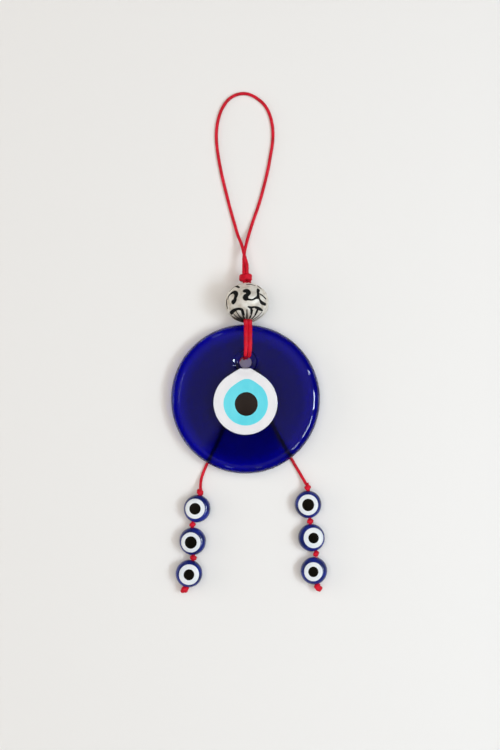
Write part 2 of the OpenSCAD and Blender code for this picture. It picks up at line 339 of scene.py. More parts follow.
def braid(turn, along):
    """How far a braided cord's surface stands out, from 0 to 1, at an angle and a distance along it."""
    one = np.abs(np.cos(BRAID_STRANDS * turn / 2 + math.pi * along / BRAID_PITCH))
    other = np.abs(np.cos(BRAID_STRANDS * turn / 2 - math.pi * along / BRAID_PITCH))
    return np.maximum(one, other)


def cord_mesh(name, path, width=CORD_D, thickness=CORD_D, across=None, relief=0.1):
    """A braided cord along a path. across is the way its width faces, or None for a round cord.
    width and thickness are single numbers, or a number for each point of the path."""
    widths = np.broadcast_to(width, len(path))
    depths = np.broadcast_to(thickness, len(path))
    sides = 20
    tangents = np.gradient(path, axis=0)
    tangents /= np.linalg.norm(tangents, axis=1)[:, None]
    turns = np.arange(sides) * 2 * math.pi / sides
    reach = np.concatenate([[0], np.cumsum(np.linalg.norm(np.diff(path, axis=0), axis=1))])
    side = np.array(across if across is not None else (0.3, 0.2, 1.0), float)
    rings = []
    for point, way, far, wide_by, deep_by in zip(path, tangents, reach, widths, depths):
        wide = np.array(across, float) if across is not None else side
        side = unit(wide - way * (wide @ way))
        up = np.cross(way, side)
        out = 1 + relief * (braid(turns, far) - 0.8)
        rings.append(point + np.outer(np.cos(turns) * out * wide_by / 2, side)
                     + np.outer(np.sin(turns) * out * deep_by / 2, up))
    points = np.vstack([*rings, path[:1], path[-1:]])
    count = len(path)
    faces = [f[::-1] for f in grid_faces(count, sides)]
    first, last = count * sides, count * sides + 1
    for k in range(sides):
        faces.append((first, k, (k + 1) % sides))
        faces.append((last, (count - 1) * sides + (k + 1) % sides, (count - 1) * sides + k))
    return make(name, points, [f[::-1] for f in faces], CORD)


def lathe(name, outline, around, paint, place):
    """A closed solid of revolution. outline is (radius, height) from its bottom to its top on the axis."""
    turns = np.arange(around) * 2 * math.pi / around
    inner = outline[1:-1]
    rings = [np.column_stack([r * np.cos(turns), r * np.sin(turns), np.full(around, z)]) for r, z in inner]
    points = np.vstack([*rings, [(0, 0, outline[0][1])], [(0, 0, outline[-1][1])]])
    faces = grid_faces(len(inner), around)
    bottom, top = len(inner) * around, len(inner) * around + 1
    for k in range(around):
        right = (k + 1) % around
        faces.append((bottom, right, k))
        faces.append((top, (len(inner) - 1) * around + k, (len(inner) - 1) * around + right))
    return make(name, place(points), faces, paint)


def remade(piece, *modifiers):
    """The piece with modifiers applied: each is (type, settings)."""
    for kind, settings in modifiers:
        modifier = piece.modifiers.new(kind.lower(), kind)
        for key, value in settings.items():
            setattr(modifier, key, value)
    bpy.context.view_layer.update()
    mesh = bpy.data.meshes.new_from_object(piece.evaluated_get(bpy.context.evaluated_depsgraph_get()))
    piece.modifiers.clear()
    old = piece.data
    piece.data = mesh
    bpy.data.meshes.remove(old)
    return piece


def remove(piece):
    mesh = piece.data
    bpy.data.objects.remove(piece)
    bpy.data.meshes.remove(mesh)


def joined(name, pieces):
    """One object of red cord, made of several."""
    points, faces, start = [], [], 0
    for piece in pieces:
        points += [tuple(v.co) for v in piece.data.vertices]
        faces += [tuple(start + i for i in f.vertices) for f in piece.data.polygons]
        start += len(piece.data.vertices)
        remove(piece)
    return make(name, points, faces, CORD)


def finish_piece(piece, body, slot, *nodes):
    """Rides the piece on its body and hides the CAD nodes that it stands for. slot is not used.
    body is None for a piece that is blended between two bodies."""
    if body is not None:
        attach(piece, body)
    if nodes:
        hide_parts(*nodes)
    return piece


# ---------------------------------------------------------------- cords

RING_STEP = 0.16 * MM
LOOP_D = 1.16 * MM
KNOT_SWELL = 0.1

# A front strand's width and thickness. Where the hole's mouth presses it, it loses some of each and
# lies lower.
STRAND_W = 1.6 * MM
STRAND_T = 1 * MM
PRESSED_W = 0.3 * MM
PRESSED_T = 0.55 * MM
PRESSED_IN = 1.1 * MM

TOP_KNOT = in_metres((0.05, 44.7, 4.6))
BACK_KNOT = in_metres((0.3, 16.6, -0.05))

LOOP_ROUTE = in_metres([
    (0.6, 46.5, 4.9), (0.5, 49.6, 4.8), (-0.5, 53.4, 4.0), (-1.4, 57, 2.2), (-2.8, 60.6, 0.6),
    (-3.9, 64.4, -0.3), (-5, 68.2, -0.6), (-6.1, 72.2, -0.6), (-7.1, 76.2, -0.6), (-8.1, 80.2, -0.6),
    (-9, 84.2, -0.6), (-9.8, 88.2, -0.6), (-10.4, 92.2, -0.6), (-10.8, 96.2, -0.6),
    (-10.7, 100.2, -0.6), (-10, 104.2, -0.6), (-8.6, 108, -0.6), (-6.2, 111.3, -0.6),
    (-2.9, 113.1, -0.6), (0.6, 113.3, -0.6), (4, 111.8, -0.6), (7, 109.2, -0.6), (8.9, 105.8, -0.6),
    (9.9, 102, -0.6), (10.2, 98, -0.6), (9.9, 94, -0.6), (9.2, 90, -0.6), (8.5, 86, -0.6),
    (7.6, 82, -0.6), (6.6, 78, -0.6), (5.5, 74, -0.6), (4.2, 70, -0.6), (2.8, 66, -0.5),
    (1.6, 62.2, 0), (0.5, 58.4, 0.9), (-0.2, 55.2, 1.8), (-0.6, 52, 2.9), (-0.6, 49.2, 4),
    (-0.6, 46.5, 4.9)])

STRAND_ROUTES = {
    "left": in_metres([
        (-0.2, 43.3, 5.1), (-0.2, 36, 7), (0.1, 29, 8.8), (0.2, 26.4, 7.9), (0.2, 24, 6.8),
        (0.2, 21.5, 6.6), (0.2, 19, 6.8), (0.1, 17.5, 6.9), (0, 16.2, 6.7)]),
    "right": in_metres([
        (1.3, 43.3, 5.1), (1.3, 36, 7), (1.6, 29, 8.8), (1.7, 26.4, 7.9), (1.7, 24, 6.8),
        (1.7, 21.5, 6.6), (1.7, 19, 6.8), (1.6, 17.5, 6.9), (1.5, 16.2, 6.7)])}
HOLE_CORDS = {
    "left": in_metres([(0.1, 15.8, 6.1), (0.1, 15.65, 5.3), (0, 15.6, 3), (-0.1, 15.6, 0.6)]),
    "right": in_metres([(1.3, 15.65, 6.1), (1.15, 15.45, 5.3), (0.9, 15.5, 3), (0.7, 15.6, 0.6)])}

BACK_ROUTES = {
    "left": in_metres([
        (-1.8, 15.3, -0.6), (-3, 13.4, -0.6), (-3.7, 11, -0.6), (-4.3, 8.4, -0.6), (-4.8, 5.6, -0.6),
        (-5.3, 2.8, -0.6), (-5.9, 0, -0.6), (-6.4, -2.8, -0.6), (-7, -5.6, -0.6), (-7.6, -8.4, -0.6),
        (-8.4, -11.2, -0.6), (-9.4, -14, -0.6), (-10.6, -16.8, -0.6), (-12, -19.6, -0.6),
        (-13.8, -23.2, -0.6)]),
    "right": in_metres([
        (2.4, 15.3, -0.6), (3.6, 13.4, -0.6), (4.5, 11, -0.6), (5.2, 8.4, -0.6), (5.9, 5.6, -0.6),
        (6.6, 2.8, -0.6), (7.3, 0, -0.6), (8, -2.8, -0.6), (8.8, -5.6, -0.6), (9.7, -8.4, -0.6),
        (10.9, -11.2, -0.6), (12.4, -14, -0.6), (14, -16.8, -0.6), (15.5, -19.4, -0.6),
        (16.6, -21.4, -0.6)])}

DROP_ROUTES = {
    "left": in_metres([
        (-14.2, -23.9, -0.6), (-15.2, -26.2, -0.6), (-16.1, -28.6, -0.3), (-16.6, -31, 0.4),
        (-16.7, -33.7, 1.4)]),
    "right": in_metres([
        (17, -22.1, -0.6), (18.4, -24.6, -0.6), (19.9, -27.1, -0.3), (21.3, -29.5, 0.4),
        (22.7, -31.9, 1.4)])}


def on_table(path, diameter):
    """The path, with the cord's surface kept above the table."""
    lifted = path.copy()
    lifted[:, 2] = np.maximum(path[:, 2], TABLE_Z + 0.51 * diameter)
    return lifted


def add_loop():
    ends = TOP_KNOT + in_metres([(0.55, 0.3, 0.1), (-0.55, 0.3, 0.1)])
    path = on_table(smooth_path(np.vstack([ends[:1], LOOP_ROUTE, ends[1:]]), RING_STEP), LOOP_D)
    near_knot = np.interp(path[:, 1], in_metres((46, 53)), (1, 0))
    widths = LOOP_D * (1 + KNOT_SWELL * near_knot)
    loop = cord_mesh("loop_cord", path, widths, widths)
    finish_piece(loop, "loop", "red_cord", "hanging_loop")


def add_tail_cord(side):
    """A tail's free cord, from the knot behind the disc to the tassel's first knot."""
    back, drop = BACK_ROUTES[side], DROP_ROUTES[side]
    start = BACK_KNOT + in_metres((-0.8 if side == "left" else 0.8, -0.5, -0.5))
    path = on_table(smooth_path(np.vstack([[start], back, drop]), RING_STEP), CORD_D)
    tail = cord_mesh(f"{side}_tail_cord", path)
    finish_piece(tail, None, "red_cord", f"{side}_back_cord", f"{side}_drop_cord")
    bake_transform(tail)


def add_strand(side):
    """A front strand, from the top knot through the filigree bead and over the glass into the hole.
    Its pull presses it flat and down into the hole's rounded mouth."""
    path = smooth_path(np.vstack([STRAND_ROUTES[side], HOLE_CORDS[side]]), RING_STEP)
    pressed = np.interp(path[:, 1], in_metres((16.2, 21.5)), (1, 0))
    path[:, 2] -= PRESSED_IN * pressed * np.clip(path[:, 2] / STRAND_ROUTES[side][-1][2], 0, 1)
    strand = cord_mesh(f"{side}_strand", path, STRAND_W - PRESSED_W * pressed,
                       STRAND_T - PRESSED_T * pressed, across=(1, 0, 0), relief=0.07)
    nodes = [f"{side}_front_strand"] + (["hole_cords"] if side == "left" else [])
    finish_piece(strand, None, "red_cord", *nodes)
    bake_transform(strand)


add_loop()
for side in SIDES:
    add_tail_cord(side)
    add_strand(side)

# ---------------------------------------------------------------- knots


def wraps(centre, wide, along, through, size, radius, turns, lean):
    """Path of a cord wound round the way along. size is its extent across, along and through, and lean
    tips the winding."""
    t = np.linspace(-0.5, 0.5, round(48 * turns))
    half = np.array(size) / 2 - radius
    around = 2 * math.pi * turns * t
    flat = half[0] * np.sin(around)
    up = 2 * half[1] * t
    tipped = np.column_stack([flat * math.cos(lean) - up * math.sin(lean),
                              flat * math.sin(lean) + up * math.cos(lean)])
    depth = -half[2] * np.cos(around)
    flat_part = np.outer(tipped[:, 0], wide) + np.outer(tipped[:, 1], along)
    return centre + flat_part + np.outer(depth, through)


KNOT_VOXEL = 0.085 * MM
STUB_REACH = 0.2 * MM
SHORT_TAIL = 0.4


def add_knot(node, body, centre, along, size, radius, turns, lean, stubs=(0,), tail=1.0):
    """A tight knot with the ends of its cords, as one lumpy solid. size, and radius, which is the
    tightened cord's, are in millimetres. stubs are the cords' places across the knot, and tail is how
    much of each shows past it."""
    size, radius = in_metres(size), radius * MM
    along = unit(np.array(along, float))
    wide = unit(np.cross(along, (0, 0, 1)))
    through = np.cross(wide, along)
    path = wraps(centre, wide, along, through, size, radius, turns, lean)
    parts = [cord_mesh("wrap", path, 2 * radius, 2 * radius)]
    reach = size[1] / 2 + STUB_REACH
    for across in stubs:
        heart = centre + wide * across
        ends = [heart - along * reach, heart + along * reach * tail]
        parts.append(cord_mesh("stub", smooth_path(ends, RING_STEP)))
    piece = joined(f"{node}_cord", parts)
    remade(piece, ("REMESH", {"mode": "VOXEL", "voxel_size": KNOT_VOXEL}),
           ("SMOOTH", {"factor": 0.5, "iterations": 3}))
    piece.data.shade_smooth()
    finish_piece(piece, body, "red_cord", node)


def middle(low_high):
    return (np.array(low_high[0]) + np.array(low_high[1])) / 2


def add_main_knots():
    down_cord = (0, -math.cos(BEAD_TILT), math.sin(BEAD_TILT))
    add_knot("top_knot", "hanger", TOP_KNOT, down_cord, size=(4.8, 3.3, 3.5), radius=0.8, turns=3,
             lean=-0.08, stubs=(-0.6 * MM, 0.6 * MM), tail=SHORT_TAIL)
    add_knot("back_knot", "disc", BACK_KNOT, (0, -1, 0), size=(3.8, 3.5, 2.1), radius=0.5, turns=2.6,
             lean=0.4)


# Each tassel's knots, from its first to its end knot: size, radius, turns and lean, as add_knot takes them
TASSEL_KNOTS = {
    "left": (((2.5, 2.6, 2.3), 0.65, 1.9, 0.1), ((2.5, 1.9, 2.2), 0.66, 1.3, 0.2),
             ((2.6, 1.9, 2.2), 0.66, 1.5, 0), ((2.5, 3.7, 2.5), 0.85, 2.0, 1.95)),
    "right": (((2.4, 3.2, 2.3), 0.65, 1.8, -0.45), ((2.5, 1.9, 2.2), 0.66, 1.4, 0.1),
              ((2.5, 1.9, 2.2), 0.66, 1.3, 0.3), ((3.2, 2.9, 2.5), 0.75, 2.1, -0.6))}


def add_tassel_knots(side):
    nodes = [f"{side}_{which}" for which in ("knot_1", "knot_2", "knot_3", "end_knot")]
    bodies = [f"{side}_tassel_{part}" for part in ("top", "top", "middle", "end")]
    places = [middle(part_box(node)) for node in nodes]
    last = len(nodes) - 1
    for i, shape in enumerate(TASSEL_KNOTS[side]):
        along = places[min(i + 1, last)] - places[max(i - 1, 0)]
        add_knot(nodes[i], bodies[i], places[i], along, *shape, tail=SHORT_TAIL if i == last else 1.0)


add_main_knots()
for side in SIDES:
    add_tassel_knots(side)
    for i in (1, 2, 3):
        node = bpy.data.objects[f"{side}_bead_cord_{i}"]
        node.data.materials.clear()
        node.data.materials.append(CORD)

# ---------------------------------------------------------------- glass disc

MOUTH_R = 0.95 * MM
DIP_DEPTH = 0.57 * MM
DIP_R = 5.4 * MM
RIPPLE = 0.03 * MM
BOWL_W = 2.95 * MM
BOWL_H = 1.6 * MM
HOLE_WALL_TOP = 4 * MM

# Painted rim glow: the glass's tint grows lighter, so that the rim band looks brighter, from the first of
# these distances from the disc's centre to the second.
PAINTED_GLOW_FROM = 20.5 * MM
PAINTED_GLOW_TO = 25.5 * MM

# Below these heights the glass is frosted, round the hole and elsewhere.
FROST_ROUND_HOLE = 4.4 * MM
FROST_ON_BACK = 1.2 * MM
DOME_R = (FLAT_R**2 + (DISC_T - RIM_T) ** 2) / (2 * (DISC_T - RIM_T))


# The eye's layers: radius of each, how far the upper two sit off the white one's centre, the gap between
# the white tip and the hole, and the share of a layer's radius over which its colour changes at the edge
WHITE_R = 11.75 * MM
TURQUOISE_R = 8.3 * MM
PUPIL_R = 4.3 * MM
PUPIL_STRETCH = 1.03
TURQUOISE_SHIFT = in_metres((0.1, -0.2))
PUPIL_SHIFT = in_metres((0.3, -0.45))
TIP_GAP = 0.02 * MM
EDGE_BAND = 0.06


def smooth_step(share):
    share = np.clip(share, 0, 1)
    return share * share * (3 - 2 * share)


def front_z(x, y):
    """Height of the disc's front face: a gentle dome with a level, rounded dip round the hole."""
    from_centre = np.minimum(np.hypot(x, y), FLAT_R)
    from_hole = np.hypot(x - HOLE[0], y - HOLE[1])
    dome = DISC_T - DOME_R + np.sqrt(DOME_R**2 - from_centre**2)
    ripple = RIPPLE * np.sin(x / (3.1 * MM) + 1.3) * np.sin(y / (3.7 * MM) + 0.4)
    mouth_edge = HOLE_R + MOUTH_R
    level = HOLE[1] / DOME_R * (y - HOLE[1])
    dip = (DIP_DEPTH - level) * (1 - smooth_step((from_hole - mouth_edge) / (DIP_R - mouth_edge)))
    lip = np.clip((mouth_edge - from_hole) / MOUTH_R, 0, 1)
    return dome + ripple - dip - MOUTH_R * (1 - np.sqrt(1 - lip**2))


def add_glass():
    """One skin that goes from the hole over the front, the rim and the back, and up through the hole."""
    around = 256
    turns = np.arange(around) * 2 * math.pi / around
    ways = np.column_stack([np.cos(turns), np.sin(turns)])
    along = ways @ HOLE
    to_rim = -along + np.sqrt(along**2 - HOLE @ HOLE + FLAT_R**2)
    loops = []

    def ring(distance, height):
        flat = HOLE + ways * np.reshape(distance, (-1, 1))
        z = height(flat[:, 0], flat[:, 1]) if callable(height) else np.full(around, height)
        loops.append(np.column_stack([flat, z]))

    for a in np.linspace(0, math.pi / 2, 10):
        ring(HOLE_R + MOUTH_R * (1 - math.cos(a)), front_z)
    for share in np.linspace(0, 1, 64)[1:]:
        ring(HOLE_R + MOUTH_R + (to_rim - HOLE_R - MOUTH_R) * share**1.5, front_z)
    edge = loops[-1][:, :2]
    outward = edge / np.linalg.norm(edge, axis=1)[:, None]
    edge_z = loops[-1][:, 2]
    for a in np.linspace(math.pi / 2, -math.pi / 2, 31)[1:]:
        flat = edge + outward * RIM_W * math.cos(a)
        loops.append(np.column_stack([flat, edge_z / 2 * (1 + math.sin(a))]))
    for share in np.linspace(1, 0, 14)[1:]:
        ring(HOLE_R + BOWL_W + (to_rim - HOLE_R - BOWL_W) * share, 0.0)
    for a in np.linspace(0, math.pi / 2, 12)[1:]:
        ring(HOLE_R + BOWL_W * math.cos(a), BOWL_H * math.sin(a))
    for z in np.linspace(BOWL_H, HOLE_WALL_TOP, 6)[1:-1]:
        ring(HOLE_R, z)
    points = np.vstack(loops)
    from_hole = np.hypot(points[:, 0] - HOLE[0], points[:, 1] - HOLE[1])
    by_hole = from_hole < HOLE_R + BOWL_W + 0.1 * MM
    frosted_below = np.where(by_hole, FROST_ROUND_HOLE, FROST_ON_BACK)
    underside = np.clip((frosted_below - points[:, 2]) / MM, 0, 1)
    # Painted rim glow: 0 inside and 1 at the rim, where the glass's tint is lightest.
    rim = smooth_step((np.hypot(points[:, 0], points[:, 1]) - PAINTED_GLOW_FROM) / (PAINTED_GLOW_TO - PAINTED_GLOW_FROM))
    faces = [f[::-1] for f in grid_faces(len(loops), around, close_rows=True)]
    glass = make("glass", points, faces, GLASS, {"underside": underside, "rim": rim}, sharp=50)
    finish_piece(glass, "disc", "cobalt_glass", "glass_disc")


def drop_outline(radius, shoulder, pull, tip_half, tip_up, lean=0.0):
    """A round drop's outline about its centre. From the angle shoulder its sides run up to the tip, which
    lies lean to the right."""
    low = np.linspace(math.pi - shoulder, 2 * math.pi + shoulder, 110)
    bottom = radius * np.column_stack([np.cos(low), np.sin(low)])
    start = radius * np.array([math.cos(shoulder), math.sin(shoulder)])
    handle = start + pull * np.array([-math.sin(shoulder), math.cos(shoulder)])
    t = np.linspace(0, 1, 25)[1:, None]
    right = (1 - t) ** 2 * start + 2 * t * (1 - t) * handle + t**2 * np.array([tip_half, tip_up])
    top = np.column_stack([np.linspace(tip_half, -tip_half, 12)[1:-1], np.full(10, tip_up)])
    outline = np.vstack([bottom, right, top, (right * (-1, 1))[::-1]])
    outline[:, 0] += lean * smooth_step(outline[:, 1] / tip_up)
    return outline


def edge_lift(share, start):
    """Height of a rounded edge: 1 up to the share start of the way out, and 0 at the outline."""
    return math.sqrt(max(0.0, 1 - max(0.0, (share - start) / (1 - start)) ** 2))


def add_inlay(name, outline, centre, proud, depth, paint, slot, node):
    """A layer of opaque glass set into the face: it follows the face, with a rounded edge."""
    count = len(outline)
    near_edge = 0.9 + 0.1 * np.sin(np.linspace(0, math.pi / 2, 10))[1:]
    shares = np.concatenate([np.linspace(0, 0.9, 16)[1:], near_edge])
    loops, edges = [], []
    for share in shares:
        flat = centre + outline * share
        lift = proud * edge_lift(share, 0.93)
        loops.append(np.column_stack([flat, front_z(flat[:, 0], flat[:, 1]) + lift]))
        edges.append(np.full(count, min(1.0, (1 - share) / EDGE_BAND)))
    rim = loops[-1].copy()
    rim[:, 2] -= depth
    loops.append(rim)
    edges.append(np.zeros(count))
    middle_top = (*centre, float(front_z(*centre)) + proud)
    middle_low = (*centre, float(front_z(*centre)) - depth)
    points = np.vstack([*loops, [middle_top], [middle_low]])
    faces = grid_faces(len(loops), count)
    top, low = len(loops) * count, len(loops) * count + 1
    for k in range(count):
        right = (k + 1) % count
        faces.append((k, right, top)[::-1])
        faces.append(((len(loops) - 1) * count + k, (len(loops) - 1) * count + right, low))
    edge = np.concatenate([*edges, [1, 1]])
    piece = make(name, points, [f[::-1] for f in faces], paint, {"edge": edge})
    finish_piece(piece, "disc", slot, node)


def add_eye():
    white_tip = HOLE[1] - HOLE_R - EYE[1] - TIP_GAP
    white = drop_outline(WHITE_R, shoulder=math.radians(56), pull=2.8 * MM, tip_half=1.9 * MM,
                         tip_up=white_tip)
    turquoise = drop_outline(TURQUOISE_R, shoulder=math.radians(52), pull=4 * MM, tip_half=0.6 * MM,
                             tip_up=9.1 * MM, lean=0.4 * MM)
    turns = np.linspace(0, 2 * math.pi, 120, endpoint=False)
    pupil = PUPIL_R * np.column_stack([np.cos(turns), PUPIL_STRETCH * np.sin(turns)])
    add_inlay("white_eye", white, EYE, 0.06 * MM, 0.8 * MM, WHITE, "white_glass", "white_drop")
    add_inlay("turquoise_eye", turquoise, EYE + TURQUOISE_SHIFT, 0.1 * MM, 0.4 * MM, TURQUOISE,
              "turquoise_glass", "turquoise_drop")
    add_inlay("pupil_eye", pupil, EYE + PUPIL_SHIFT, 0.16 * MM, 0.3 * MM, PUPIL, "dark_glass", "pupil")


add_glass()
add_eye()

# ---------------------------------------------------------------- filigree bead

BEAD_R = 8.1 * MM
BEAD_HALF = 7.4 * MM
BEAD_BORE = 2.15 * MM
BORE_WALL = 0.96 * BEAD_BORE
GROOVE_DEPTH = 0.42 * MM
BULGE_DEPTH = 0.14 * MM
LIP_DEPTH = 0.2 * MM
BEAD_AT = middle(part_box("filigree_bead")) * (1, 0, 1) + in_metres((0, 35.4, 0))

# Grooves on the bead's front: each is a list of (across, up, half width), where across and up are shares
# of the bead's outline as it lies, seen from above, and half width is in millimetres.
SCROLLS = (
    ((-0.1, 0.53, 0.85), (0.0, 0.53, 1.05), (0.07, 0.44, 1.05), (0.03, 0.34, 0.8), (-0.05, 0.26, 1.0),
     (-0.06, 0.17, 1.15), (0.03, 0.1, 0.5)),
    ((0.03, 0.1, 0.45), (0.24, 0.08, 0.34), (0.4, 0.17, 0.45), (0.5, 0.22, 0.75), (0.51, 0.36, 0.6),
     (0.5, 0.48, 0.65), (0.52, 0.6, 0.75)),
    ((0.52, 0.24, 0.45), (0.6, 0.07, 0.45), (0.68, -0.05, 0.75), (0.84, -0.12, 0.6)),
    ((0.56, 0.4, 0.3), (0.72, 0.31, 0.36), (0.86, 0.16, 0.36)),
    ((0.5, 0.8, 0.45), (0.63, 0.7, 0.5)),
    ((0.0, 0.87, 0.35), (0.18, 0.88, 0.5), (0.36, 0.83, 0.4)),
    ((-0.87, 0.16, 0.45), (-0.83, 0.3, 0.5), (-0.73, 0.42, 0.6), (-0.58, 0.48, 0.8), (-0.49, 0.37, 1.0),
     (-0.53, 0.2, 0.75), (-0.56, 0.06, 0.9), (-0.63, -0.02, 1.0)),
    ((-0.955, 0.13, 0.5), (-0.935, -0.08, 0.6), (-0.9, -0.28, 0.6)),
    ((-0.79, 0.56, 0.4), (-0.65, 0.71, 0.45), (-0.51, 0.8, 0.6), (-0.36, 0.72, 0.45)),
    ((-0.73, -0.55, 0.85), (-0.6, -0.44, 0.75), (-0.42, -0.37, 0.55), (-0.25, -0.4, 0.65),
     (-0.18, -0.52, 0.5), (-0.13, -0.66, 0.35)),
    ((0.07, -0.27, 0.35), (0.18, -0.31, 0.55), (0.34, -0.28, 0.4), (0.52, -0.34, 0.7), (0.7, -0.43, 0.4)),
    ((0.2, -0.33, 0.45), (0.2, -0.6, 0.4)),
    ((0.5, -0.36, 0.5), (0.39, -0.62, 0.36)),
)
S_SCROLL, ARCH_SCROLL = SCROLLS[0], SCROLLS[9]
PETALS = 18


def on_bead(longitude, latitude):
    """A place on the bead's plain surface, with +Y along its hole towards the loop and +Z to the front."""
    return np.column_stack([
        BEAD_R * np.cos(latitude) * np.sin(longitude),
        BEAD_HALF * np.sin(latitude),
        BEAD_R * np.cos(latitude) * np.cos(longitude)])


def tipped(points, angle):
    """Points turned about X, so that a positive angle raises the end towards the disc."""
    turned = points.copy()
    turned[:, 1] = points[:, 1] * math.cos(angle) + points[:, 2] * math.sin(angle)
    turned[:, 2] = points[:, 2] * math.cos(angle) - points[:, 1] * math.sin(angle)
    return turned


def scroll_line(scroll):
    """A scroll's centre line on the bead, with its half width at each point."""
    fine = smooth_path(scroll, 0.025)
    across, up = fine[:, 0], fine[:, 1]
    seen = np.column_stack([across, up, np.sqrt(np.clip(1 - across**2 - up**2, 0.01, 1))])
    way = tipped(seen, -BEAD_TILT)
    shape = np.array([BEAD_R, BEAD_HALF, BEAD_R])
    return way / np.linalg.norm(way, axis=1)[:, None] * shape, fine[:, 2] * MM


def scroll_depth(places):
    """How deep each place lies in the scrolls' grooves, from 0 to 1. The back has the same scrolls as the
    front, and its sides have two S shapes and an arch."""
    depth = np.zeros(len(places))
    turned = [(scroll, angle) for angle in (0, 180) for scroll in SCROLLS]
    turned += [(S_SCROLL, 97), (S_SCROLL, -93), (ARCH_SCROLL, -75)]
    for scroll, angle in turned:
        line, half_widths = scroll_line(scroll)
        cos_a, sin_a = math.cos(math.radians(angle)), math.sin(math.radians(angle))
        x = line[:, 0] * cos_a + line[:, 2] * sin_a
        z = line[:, 2] * cos_a - line[:, 0] * sin_a
        for centre, half_width in zip(np.column_stack([x, line[:, 1], z]), half_widths):
            near = 1 - np.linalg.norm(places - centre, axis=1) / half_width
            depth = np.maximum(depth, near * 2.5)
    return smooth_step(depth)


def petal_depth(longitude, latitude):
    """The flutes that fan out round both ends of the hole."""
    start = np.radians(np.where(latitude < 0, 36, 58))
    end = math.radians(76)
    across = np.abs(np.sin(longitude * PETALS / 2))
    fan = np.clip((np.abs(latitude) - start) / math.radians(7), 0, 1)
    fan *= np.clip((end - np.abs(latitude)) / math.radians(5), 0, 1)
    wide = 0.35 + 0.65 * np.clip((np.abs(latitude) - math.radians(45)) / math.radians(25), 0, 1)
    return fan * np.clip(1 - across / wide, 0, 1) ** 0.8


def add_filigree():
    around, rows = 360, 220
    start = math.acos(BEAD_BORE / BEAD_R)
    latitudes = np.linspace(-start, start, rows)
    longitudes = np.arange(around) * 2 * math.pi / around
    latitude, longitude = (g.ravel() for g in np.meshgrid(latitudes, longitudes, indexing="ij"))
    places = on_bead(longitude, latitude)
    groove = np.maximum(scroll_depth(places), petal_depth(longitude, latitude))
    bulge = 0.5 + 0.5 * np.sin(longitude * 9 + 4 * latitude) * np.cos(latitude * 7)
    lip = np.clip((np.abs(latitude) - math.radians(70)) / math.radians(5), 0, 1)
    inward = GROOVE_DEPTH * groove + BULGE_DEPTH * bulge * (1 - groove) + LIP_DEPTH * lip
    normals = places / np.array([BEAD_R**2, BEAD_HALF**2, BEAD_R**2])
    normals /= np.linalg.norm(normals, axis=1)[:, None]
    outer = (places - normals * inward[:, None]).reshape(rows, around, 3)
    inner = []
    top_y = outer[-1, :, 1].mean()
    for y in np.linspace(top_y - 0.3 * MM, -top_y + 0.3 * MM, 8):
        inner.append(np.column_stack([BORE_WALL * np.sin(longitudes), np.full(around, y),
                                      BORE_WALL * np.cos(longitudes)]))
    points = np.vstack([outer.reshape(-1, 3), *inner])
    # Painted shade: the end of the hole towards the disc is darkened with the grooves' colour, most on its
    # left. The bore's wall is dark as well.
    mouth = np.clip((-np.degrees(latitude) - 42) / 25, 0, 1) * (0.55 - 0.45 * np.sin(longitude))
    patina_and_shade = np.maximum(groove, 0.42 * mouth)
    dark = np.concatenate([patina_and_shade, np.full(len(inner) * around, 0.7)])
    faces = grid_faces(rows + len(inner), around, close_rows=True)
    bead = make("filigree", tipped(points, BEAD_TILT) + BEAD_AT, faces, SILVER, {"groove": dark})
    finish_piece(bead, "filigree", "antique_silver", "filigree_bead")


add_filigree()

# ---------------------------------------------------------------- small beads

SMALL_R = 4.96 * MM
SMALL_HALF = 2.6 * MM
SMALL_HOLE_R = 0.8 * MM
SMALL_STRETCH = 1.035
DOT_DEPTH = 0.5 * MM
DRILL_REACH = 7 * MM


def small_face_z(x, y):
    """Height of a small bead's domed face above its middle."""
    share = np.clip(np.hypot(x, y) / SMALL_R, 0, 1)
    return SMALL_HALF * (1 - share**4.5) ** 0.5


def small_outline():
    angles = np.linspace(0, math.pi / 2, 15)
    radii = SMALL_R * np.sin(angles)
    heights = small_face_z(radii, 0 * radii)
    face = np.column_stack([radii, heights])
    return [tuple(p) for p in np.vstack([face * (1, -1), face[::-1][1:]])]


def add_dot(name, outline_r, shift, proud, paint, slot, node, body, place):
    """A dot on each face of a small bead, as one piece."""
    count, points, faces = 56, [], []
    turns = np.arange(count) * 2 * math.pi / count
    shares = np.concatenate([np.linspace(0, 0.88, 8)[1:], [0.93, 0.965, 0.985, 1.0]])
    for face in (1, -1):
        base = len(points)
        for share in shares:
            x = shift[0] + outline_r * share * np.cos(turns)
            y = shift[1] + outline_r * share * np.sin(turns)
            lift = proud * edge_lift(share, 0.9)
            points += list(np.column_stack([x, y, face * (small_face_z(x, y) + lift)]))
        points += list(np.column_stack([x, y, face * (small_face_z(x, y) - DOT_DEPTH)]))
        points.append((*shift, face * (float(small_face_z(*shift)) + proud)))
        points.append((*shift, face * (float(small_face_z(*shift)) - DOT_DEPTH)))
        rows = len(shares) + 1
        some = grid_faces(rows, count)
        for k in range(count):
            right = (k + 1) % count
            some.append((right, k, rows * count))
            some.append(((rows - 1) * count + k, (rows - 1) * count + right, rows * count + 1))
        faces += [tuple(base + i for i in (f[::-1] if face > 0 else f)) for f in some]
    dot = make(name, place(np.array(points)), faces, paint, sharp=60)
    finish_piece(dot, body, slot, node)


# How far each bead's eye sits off the bead's centre, and the diameters of its white and its black, in
# millimetres
EYES = {
    "left": (((-0.7, 0), 7.2, 4.25), ((-0.6, -0.2), 7.2, 4.5), ((0.1, -0.1), 7.4, 4.0)),
    "right": (((-0.05, 0), 7.4, 4.5), ((0.7, 0), 7.3, 3.9), ((-0.3, -0.1), 6.8, 3.8))}


